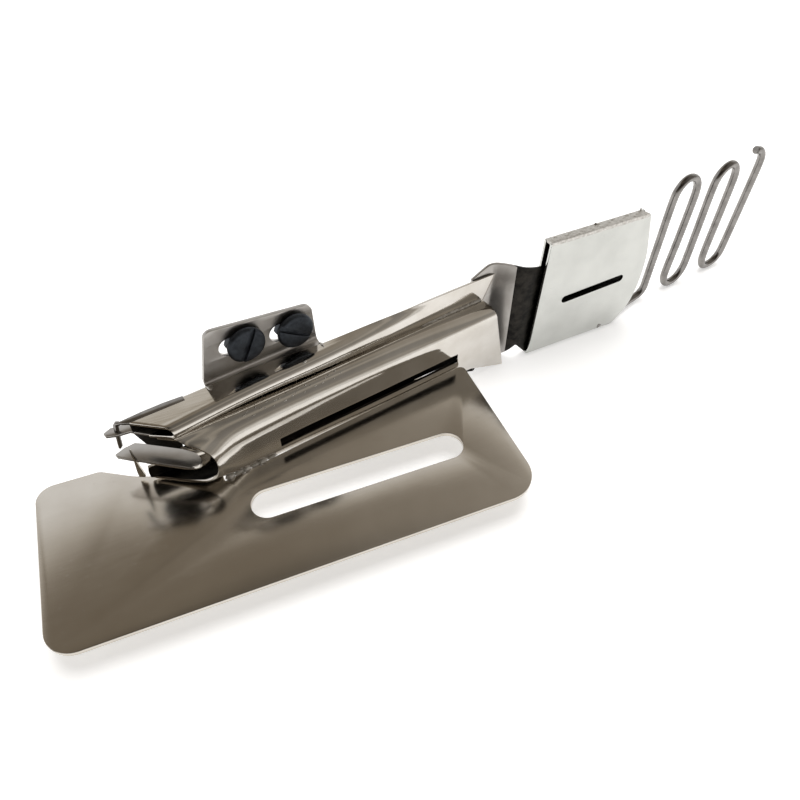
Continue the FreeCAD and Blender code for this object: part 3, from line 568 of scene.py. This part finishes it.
for (along, level), long in bracket["holes"]:
    hole = prismOf(stadium(long, bracket["holeWide"]), 0, 4)
    hole.data.transform(Matrix.Translation((along, bracket["far"], level)) @ upright)
    cut(tab, hole)
roundRims(tab, bracket["rim"], 40)
settle(tab, "adjustingBracket", "scroll", ["adjusting_bracket"], satinSteel)
print("bracket made")


# screws and nuts
def lathe(profile, steps=48):
    # a profile of radius and place along Y, turned round the Y axis
    edges = [(i, i + 1) for i in range(len(profile) - 1)]
    piece = newBlank([(radius, along, 0) for radius, along in profile], edges, [])
    modify(piece, "SCREW", axis="Y", angle=math.radians(360), steps=steps, render_steps=steps, screw_offset=0,
           use_merge_vertices=True, merge_threshold=0.001)
    editParts(piece, "VERT", lambda vertex: True, lambda: (
        bpy.ops.mesh.remove_doubles(threshold=0.002), bpy.ops.mesh.normals_make_consistent(inside=False)))
    return piece


screw = {
    "headRound": 2.8, "headTall": 0.9, "shank": 1.2, "root": 1.0, "pitch": 0.45, "front": 6.6, "end": 8.6,
    "dome": [(0, 0), (1.2, 0.01), (2.2, 0.05), (2.5, 0.12), (2.68, 0.24), (2.77, 0.4)],  # radius and fall
    "slotWide": 0.8, "slotDeep": 0.5, "slotLong": 9.0, "rim": 0.05,
    "names": [("screwLeft", "screw_left"), ("screwRight", "screw_right")],
}
nut = {"flats": 4.6, "tall": 1.0, "seat": 7.2, "bore": 1.21, "corner": 0.42, "chamfer": 0.22, "rim": 0.06,
       "names": [("nutLeft", "nut_left"), ("nutRight", "nut_right")]}
for (name, node), (nutName, nutNode), ((along, level), turn) in zip(
        screw["names"], nut["names"], bracket["screws"]):
    top = screw["front"] - screw["headTall"]
    profile = [(radius, top + fall) for radius, fall in screw["dome"]]
    profile += [(screw["headRound"], top + 0.55), (screw["headRound"], screw["front"] - 0.1),
                (screw["headRound"] - 0.1, screw["front"]), (screw["shank"], screw["front"]),
                (screw["shank"], screw["front"] + 0.5)]
    place = screw["front"] + 0.62
    while place < screw["end"] - screw["pitch"]:
        profile += [(screw["root"], place), (screw["shank"], place + screw["pitch"] / 2)]
        place += screw["pitch"]
    profile += [(0.95, screw["end"] - 0.02), (0, screw["end"])]
    piece = lathe(profile)
    bpy.ops.mesh.primitive_cube_add(size=1)
    driver = bpy.context.object
    driver.data.transform(Matrix.Rotation(math.radians(-turn), 4, "Y") @ Matrix.Diagonal(
        (screw["slotLong"], 2 * screw["slotDeep"], screw["slotWide"], 1)))
    driver.data.transform(Matrix.Translation((0, top, 0)))
    cut(piece, driver)
    roundRims(piece, screw["rim"], 50)
    piece.data.transform(Matrix.Translation((along, 0, level)))
    settle(piece, name, "scroll", [node], blackSteel, 28)

    flats, tall = nut["flats"] / 2, nut["tall"] / 2
    bpy.ops.mesh.primitive_cylinder_add(vertices=6, radius=flats / math.cos(math.radians(30)),
                                        depth=2 * tall)
    hexNut = bpy.context.object
    hexNut.data.transform(upright @ Matrix.Rotation(math.radians(30), 4, "Z"))
    cone = lathe([(0, -tall), (flats - 0.02, -tall), (flats + nut["corner"], -tall + nut["chamfer"]),
                  (flats + nut["corner"], tall - nut["chamfer"]), (flats - 0.02, tall), (0, tall)])
    modify(hexNut, "BOOLEAN", operation="INTERSECT", object=cone, solver="EXACT")
    bpy.data.objects.remove(cone)
    bore = lathe([(0, -2), (nut["bore"], -2), (nut["bore"], 2), (0, 2)])
    cut(hexNut, bore)
    roundRims(hexNut, nut["rim"], 25)
    hexNut.data.transform(Matrix.Translation((along, nut["seat"] + tall, level)))
    settle(hexNut, nutName, "scroll", [nutNode], blackSteel, 28)
print("screws and nuts made")

# tape sleeve
sleeve = {
    "thick": 0.45, "rim": 0.06, "start": -0.5, "end": 25, "near": -1, "far": 3,
    "columns": 90, "neckColumns": 60, "rows": 6,
    "fold": [(0, 23.5), (0, 18), (0, 12), (0, 6), (0, 2.4), (0.03, 1.3), (0.2, 0.55), (0.55, 0.12),
             (1.0, 0.01), (1.45, 0.12), (1.8, 0.55), (1.97, 1.3), (2.0, 2.4), (2, 6), (2, 12), (2, 18),
             (2, 23.5)],
    "face": [((0, -1), 0), ((17.7, -1), 0), ((18.3, 0.05), 0.6), ((21.6, 4.3), 1.5), ((23.35, 11.6), 5.0),
             ((20.6, 24.0), 0), ((0.9, 24.0), 0)],
    "windowSpot": (11.8, 0.9, 11.28), "windowLong": 13.0, "windowWide": 1.45, "windowTurn": 3.0,
    "windowDeep": 1.5, "neckTall": 24, "neckFar": 8, "darkFrom": -3.7,
    "neckPlan": [(-10.6, 4.72), (-9.4, 4.86), (-8.2, 4.98), (-7.2, 5.0), (-6.3, 4.72), (-5.3, 3.95),
                 (-4.2, 2.95), (-3.1, 2.1), (-2.0, 1.68), (-0.8, 1.57), (0.4, 1.57), (1.4, 1.57)],
    "neckFace": [((-11.2, 0.3), 0), ((-4.6, 0.1), 0.8), ((-2.1, 2.7), 0.3), ((0.1, 0.2), 0), ((1.3, 0.6), 0),
                 ((1.3, 18.6), 0), ((0.3, 18.6), 1.2), ((-5.6, 20.1), 2.5), ((-11.2, 17.3), 0)],
}
pocket = bentSheet([(atCut(sleeve["start"]), sleeve["fold"]), (atCut(sleeve["end"]), sleeve["fold"])],
                   sleeve["columns"], sleeve["rows"])
pocket.data.materials.append(sleeveSteel)
pocket.data.materials.append(paintedShade)
# painted shade inside the fold
modify(pocket, "SOLIDIFY", thickness=sleeve["thick"], offset=-1.0, use_even_offset=True,
       material_offset=1)  # dark inside the fold
trimUpright(pocket, sleeve["face"], sleeve["near"], sleeve["far"])
window = prismOf(stadium(sleeve["windowLong"], sleeve["windowWide"]), 0, sleeve["windowDeep"])
window.data.transform(Matrix.Translation(sleeve["windowSpot"]) @ upright
                      @ Matrix.Rotation(math.radians(sleeve["windowTurn"]), 4, "Z"))
cut(pocket, window)
roundRims(pocket, sleeve["rim"], 40)
neck = bentSheet([(lambda x, y: Vector((x, y, 0)), sleeve["neckPlan"]),
                  (lambda x, y: Vector((x, y, sleeve["neckTall"])), sleeve["neckPlan"])],
                 sleeve["neckColumns"], sleeve["rows"])
modify(neck, "SOLIDIFY", thickness=sleeve["thick"], offset=1.0, use_even_offset=True)
trimUpright(neck, sleeve["neckFace"], sleeve["near"], sleeve["neckFar"])
for material in (sleeveSteel, paintedShade, satinSteel):
    neck.data.materials.append(material)
roundRims(neck, sleeve["rim"], 40)
# painted shade on the neck where it lies beyond darkFrom; the rest is plain satin
for face in neck.data.polygons:
    face.material_index = 1 if face.center.x > sleeve["darkFrom"] else 2
settle(join(pocket, neck), "tapeSleeve", "sleeve", ["tape_sleeve"], sleeveSteel)
print("tape sleeve made")

# tension wire
wire = {
    "thick": 1.4, "rim": 0.12, "steps": 420,
    "line": [(-21.7, -2.35, 1.3), (-15.0, -1.0, 1.2), (-11.0, -0.2, 0.95), (-9.6, -0.05, 1.0), (-8.2, 0, 1.45),
             (-7.35, 0, 2.6), (-7.25, 0, 4.4), (-7.0, 0, 12.0), (-6.75, 0, 20.5), (-6.4, 0, 22.9),
             (-5.3, 0, 24.4), (-3.8, 0, 24.85), (-2.2, 0, 24.2), (-1.1, 0, 22.6), (-0.85, 0, 20.0),
             (-1.35, 0, 11.0),
             (-1.85, 0, 5.0), (-1.75, 0, 2.6), (-0.8, 0, 1.1), (0.6, 0, 0.75), (2.2, 0, 1.3), (3.3, 0, 2.9),
             (3.6, 0, 5.0), (3.75, 0, 12.0), (3.9, 0, 20.0), (4.3, 0, 22.4), (5.4, 0, 23.8), (6.9, 0, 24.3),
             (8.3, 0, 23.7), (9.25, 0, 22.2), (9.45, 0, 20.0), (9.2, 0, 11.0), (9.0, 0, 5.0), (9.25, 0, 2.6),
             (10.2, 0, 1.1), (11.7, 0, 0.75), (13.4, 0, 1.2), (14.5, 0, 2.5), (14.85, 0, 4.6), (15.4, 0, 12.0),
             (15.95, 0, 20.5), (15.95, 0, 22.8), (15.55, 0, 23.9), (14.6, 0, 24.85), (13.2, 0, 25.3)],
}
spots = [Vector(spot) for spot in wire["line"]]
marks = stepMarks(spots)
curve = bpy.data.curves.new("wireLine", "CURVE")
curve.dimensions = "3D"
spline = curve.splines.new("POLY")
spline.points.add(wire["steps"] - 1)
for number, point in enumerate(spline.points):
    point.co = (*curveAt(spots, marks, number / (wire["steps"] - 1)), 1)
curve.bevel_depth = wire["thick"] / 2
curve.bevel_resolution = 6
curve.use_fill_caps = True
bent = bpy.data.objects.new("wireLine", curve)
bpy.context.scene.collection.objects.link(bent)
deselect()
bent.select_set(True)
bpy.context.view_layer.objects.active = bent
bpy.ops.object.convert(target="MESH")
bent = bpy.context.object
editParts(bent, "VERT", lambda vertex: True, lambda: bpy.ops.mesh.remove_doubles(threshold=0.001))
roundRims(bent, wire["rim"], 60)
settle(bent, "tensionWire", "wire", ["tension_wire"], wireSteel)
print("tension wire made")


# solder
def lump(size, seed, rough=0.12):
    # a drop of solder: a round blank, flattened to its size and made uneven
    bpy.ops.mesh.primitive_ico_sphere_add(subdivisions=4, radius=1)
    piece = bpy.context.object
    for vertex in piece.data.vertices:
        coarse = noise.noise(vertex.co * 1.7 + Vector((seed, 0, 0)))
        fine = noise.noise(vertex.co * 4.1 + Vector((0, seed, 0)))
        swell = 1 + rough * coarse + rough / 2 * fine
        vertex.co = Vector([vertex.co[i] * swell * size[i] for i in range(3)])
    return piece


def drops(name, place, node, rows, bed=None):
    # each row is the middle of a drop and its half sizes
    pieces = [bed] if bed else []
    for number, (spot, size) in enumerate(rows):
        piece = lump(size, number * 3.7 + len(name))
        piece.data.transform(Matrix.Translation(spot))
        pieces.append(piece)
    return settle(join(*pieces), name, place, node, solderTin, 60)


plateDrops = [((0.9, 0.1, 5.05), (0.75, 0.5, 0.4)), ((3.5, 0.05, 5.0), (0.6, 0.42, 0.36)),
              ((6.1, 0.0, 5.0), (0.7, 0.35, 0.3)), ((2.2, 0.1, 4.95), (0.9, 0.3, 0.22)),
              ((4.9, 0.05, 4.95), (1.0, 0.26, 0.2)), ((7.6, 0.0, 4.95), (0.9, 0.2, 0.14)),
              ((2.9, -0.35, 4.95), (0.3, 0.2, 0.12)), ((5.6, -0.4, 4.95), (0.22, 0.16, 0.1))]
drops("plateSolder", "scroll", ["plate_solder"], plateDrops)

valley = {"start": 38.4, "step": 1.6, "count": 7, "across": 3.9, "level": 13.5, "size": (1.5, 0.34, 0.3)}
drops("valleySolder", "scroll", ["valley_solder"],
      [((valley["start"] + valley["step"] * step, valley["across"], valley["level"]), valley["size"])
       for step in range(valley["count"])])

bracketDrops = [((5.5, 3.55, 16.95), (0.7, 0.22, 0.16)), ((10.9, 3.6, 16.93), (0.45, 0.2, 0.16)),
                ((16.4, 3.6, 16.95), (0.55, 0.22, 0.16)), ((3.0, 6.3, 17.0), (0.5, 0.8, 0.25)),
                ((20.3, 5.2, 16.95), (0.35, 0.9, 0.25))]
drops("bracketSolder", "scroll", [], bracketDrops)


def topOf(piece, place, x, y):
    # the height of a piece's upper side at a spot of its frame
    spot = piece.ray_cast(frames[place] @ Vector((x, y, 40)), (0, 0, -1))[1]
    return (frames[place].inverted() @ spot).z


ridge = {"start": 5.5, "step": 0.62, "count": 26, "across": 1.75, "sway": 0.45,
         "long": 0.2, "uneven": 0.07, "wide": 0.13, "tall": 0.06}
bpy.context.view_layer.update()
specks = [(ridge["start"] + ridge["step"] * step, ridge["across"] + ridge["sway"] * math.sin(step * 2.4))
          for step in range(ridge["count"])]
drops("ridgeSolder", "scroll", [],
      [((x, y, topOf(outer, "scroll", x, y)),
        (ridge["long"] + ridge["uneven"] * math.sin(x * 5), ridge["wide"], ridge["tall"]))
       for x, y in specks])

seam = {
    "bed": [(0.95, -0.02, 23.2), (0.95, -0.02, 23.88), (0.95, 2.02, 23.52), (0.95, 2.02, 23.2)], "long": 19.4,
    "rim": 0.05, "start": 1.6, "step": 0.95, "count": 20, "size": (0.42, 0.3, 0.08),
    "across": 1.0, "sway": 0.6, "level": 23.68, "slope": 0.1,
    "burrs": [((19.9, 1.8, 23.55), (0.13, 0.13, 0.6)), ((10.6, 1.75, 23.5), (0.28, 0.14, 0.34))],
}
seamBed = uprightPlate(seam["bed"], (seam["long"], 0, 0), seam["rim"])
ripples = [((seam["start"] + seam["step"] * step, seam["across"] + seam["sway"] * math.sin(step * 2.1),
             seam["level"] - seam["slope"] * math.sin(step * 2.1)), seam["size"])
           for step in range(seam["count"])]
drops("sleeveSeam", "sleeve", ["sleeve_seam"], ripples + seam["burrs"], seamBed)

wireRun = {"start": 16.6, "step": 0.75, "count": 5, "across": 2.45, "level": 1.9, "size": (0.7, 0.4, 0.55)}
drops("wireSolder", "sleeve", ["wire_solder"],
      [((wireRun["start"] + wireRun["step"] * step, wireRun["across"], wireRun["level"]), wireRun["size"])
       for step in range(wireRun["count"])])
print("solder made")

# edge guard and lower tooth
guard = {
    "strip": [(-10.1, 7.05), (-8.6, 6.1), (-0.8, 5.9), (-0.8, 6.9), (-3.5, 7.15), (-6.5, 7.2)],
    "stripLevel": 16.76, "stripThick": 0.42, "thick": 0.5, "rim": 0.07, "ahead": 0.1,
    "tooth": [(10.9, 17.18), (11.45, 17.1), (11.75, 16.7), (12.1, 14.6), (12.5, 11.75), (12.3, 11.5),
              (12.0, 11.9), (11.55, 14.6), (11.2, 16.5), (10.7, 16.76)],
}
strip = flatPlate(guard["strip"], guard["stripLevel"], guard["stripThick"], guard["rim"])
hook = uprightPlate([atMouth(across, level) - outOfMouth * guard["ahead"]
                     for across, level in guard["tooth"]],
                    outOfMouth * guard["thick"], guard["rim"])
settle(join(strip, hook), "edgeGuard", "scroll", ["edge_guard"], wireSteel)
spike = {
    "points": [(11.0, 11.5), (10.75, 10.0), (10.55, 7.6), (10.25, 5.95), (10.3, 5.5), (11.3, 5.3), (11.3, 6.4),
               (11.05, 9.0)],
    "thick": 0.4, "rim": 0.05,
}
tooth = uprightPlate([atMouth(across, level) for across, level in spike["points"]],
                     outOfMouth * spike["thick"], spike["rim"])
settle(tooth, "lowerTooth", "scroll", ["lower_tooth"], mirrorSteel)
print("teeth made")

# camera and light
camera = bpy.data.objects.new("camera", bpy.data.cameras.new("camera"))
bpy.context.scene.collection.objects.link(camera)
view = {"spot": (-0.01767, -0.05885, 0.08622), "down": 47.01, "turn": -22.07, "lens": 31.05, "sensor": 36,
        "nearest": 0.005}
camera.location = view["spot"]
camera.rotation_euler = (math.radians(90 - view["down"]), 0, math.radians(view["turn"]))
camera.data.lens = view["lens"]
camera.data.sensor_width = view["sensor"]
camera.data.clip_start = view["nearest"]
bpy.context.scene.camera = camera

world = bpy.data.worlds.new("studio")
bpy.context.scene.world = world
world.use_nodes = True
tree = world.node_tree
direction = addNode(tree, "ShaderNodeTexCoord").outputs["Generated"]
axes = addNode(tree, "ShaderNodeSeparateXYZ", None, {"Vector": direction})
# what the metal mirrors: tones from the horizon, 0, to overhead, 1, behind the part and before it
walls = {
    "back": [(0.0, "#FFFFFF"), (0.6, "#FFFFFF"), (0.7, "#C9C2B6"), (0.745, "#8C8275"), (0.8, "#7E7466"),
             (0.9, "#83796B"), (0.96, "#6A6257"), (1.0, "#3A352F")],
    "front": [(0.0, "#FFFFFF"), (0.11, "#F4F2EE"), (0.18, "#A8A29A"), (0.26, "#5F574E"), (0.36, "#7F776B"),
              (0.46, "#453D36"), (0.62, "#2E2722"), (0.74, "#3A332C"), (0.8, "#827A6E"), (0.87, "#968E82"),
              (0.93, "#49443D"), (1.0, "#39352F")],
    "right": "#E2DDD5", "rightShare": 0.4,
}
backWall, frontWall = [
    addNode(tree, "ShaderNodeValToRGB", None, {"Fac": axes.outputs["Z"]},
            [(position, linearColour(colour)) for position, colour in walls[side]]).outputs["Color"]
    for side in ("back", "front")]
parted = addNode(tree, "ShaderNodeMapRange", None, {
    "Value": axes.outputs["Y"], "From Min": -0.15, "From Max": 0.15})
sky = addNode(tree, "ShaderNodeMix", {"data_type": "RGBA"}, {
    "Factor": parted.outputs["Result"], "A": frontWall, "B": backWall})
rightHand = addNode(tree, "ShaderNodeMapRange", None, {
    "Value": axes.outputs["X"], "From Min": -0.1, "From Max": 0.6, "To Max": walls["rightShare"]})
lit = addNode(tree, "ShaderNodeMix", {"data_type": "RGBA"}, {
    "Factor": rightHand.outputs["Result"], "A": sky.outputs["Result"], "B": linearColour(walls["right"])})
background = tree.nodes["Background"]
tree.links.new(lit.outputs["Result"], background.inputs["Color"])
background.inputs["Strength"].default_value = 1.0

# a wide lamp above the back of the part gives the soft shadow in front
lamp = {"spot": (0.08, 0.12, 0.6), "size": 0.5, "power": 2.6}
keyLamp = bpy.data.objects.new("keyLamp", bpy.data.lights.new("keyLamp", "AREA"))
keyLamp.data.shape = "DISK"
keyLamp.data.size = lamp["size"]
keyLamp.data.energy = lamp["power"]
keyLamp.location = lamp["spot"]
keyLamp.rotation_euler = (-Vector(lamp["spot"])).to_track_quat("-Z", "Y").to_euler()
keyLamp.visible_glossy = False  # the metal mirrors the walls, and not the lamp
bpy.context.scene.collection.objects.link(keyLamp)

bpy.ops.mesh.primitive_plane_add(size=6, location=(0, 0, 0))
floor = bpy.context.object
floor.name = "floor"
paper, paperTree, paperShader = newMaterial("whitePaper")
paperLook = {"colour": "#F4F4F4", "rough": 0.9, "lift": 0.45}
paperShader.inputs["Base Color"].default_value = linearColour(paperLook["colour"])
paperShader.inputs["Roughness"].default_value = paperLook["rough"]
# the paper is seen pure white, by the eye and in the metal, and keeps the shadow
rays = addNode(paperTree, "ShaderNodeLightPath")
seen = addNode(paperTree, "ShaderNodeMath", {"operation": "MAXIMUM"}, {
    0: rays.outputs["Is Camera Ray"], 1: rays.outputs["Is Glossy Ray"]})
seenThrough = addNode(paperTree, "ShaderNodeMath", {"operation": "MAXIMUM"}, {
    0: seen.outputs["Value"], 1: rays.outputs["Is Transmission Ray"]})
lift = addNode(paperTree, "ShaderNodeMath", {"operation": "MULTIPLY"}, {
    0: seenThrough.outputs["Value"], 1: paperLook["lift"]})
paperShader.inputs["Emission Color"].default_value = white
paperTree.links.new(lift.outputs["Value"], paperShader.inputs["Emission Strength"])
floor.data.materials.append(paper)

scene = bpy.context.scene
scene.view_settings.view_transform = "Standard"
